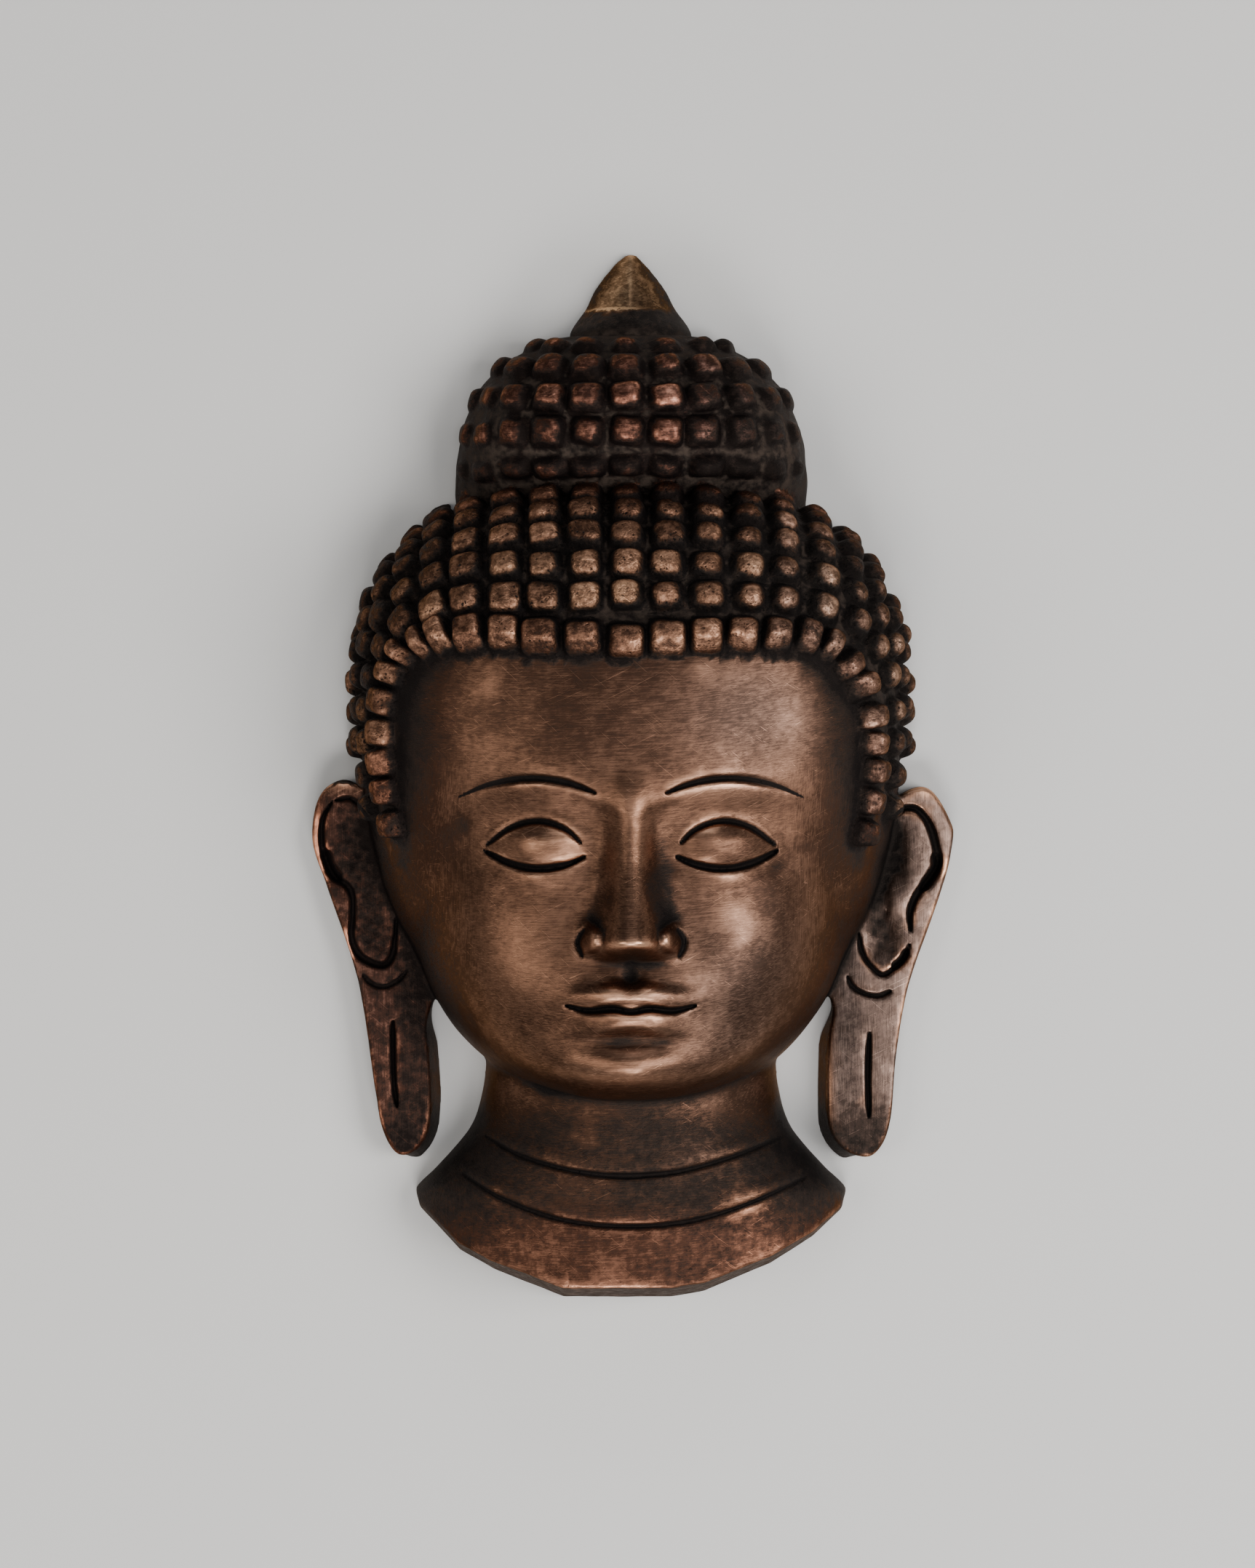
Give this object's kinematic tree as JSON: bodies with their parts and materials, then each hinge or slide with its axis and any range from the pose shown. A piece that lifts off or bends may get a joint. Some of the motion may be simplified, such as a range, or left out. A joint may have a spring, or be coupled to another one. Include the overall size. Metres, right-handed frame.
{
  "type": "decorative mask",
  "caption": "Small cast copper mask of a calm, long-eared head with tight curls, a topknot and a pointed finial, open and hollow behind.",
  "frame": {"origin": "middle of the outline in plan, on the plane of the flat back rim that the mask lies on", "axes": "+X towards the viewer's right, +Y from the collar to the tip of the finial, +Z out of the face"},
  "size_m": [0.0867, 0.14, 0.0354],
  "materials": {
    "copper": "dark brown patina over cast copper, worn bright on the high places"
  },
  "bodies": {
    "root": {"mask": "copper"}
  },
  "joints": []
}
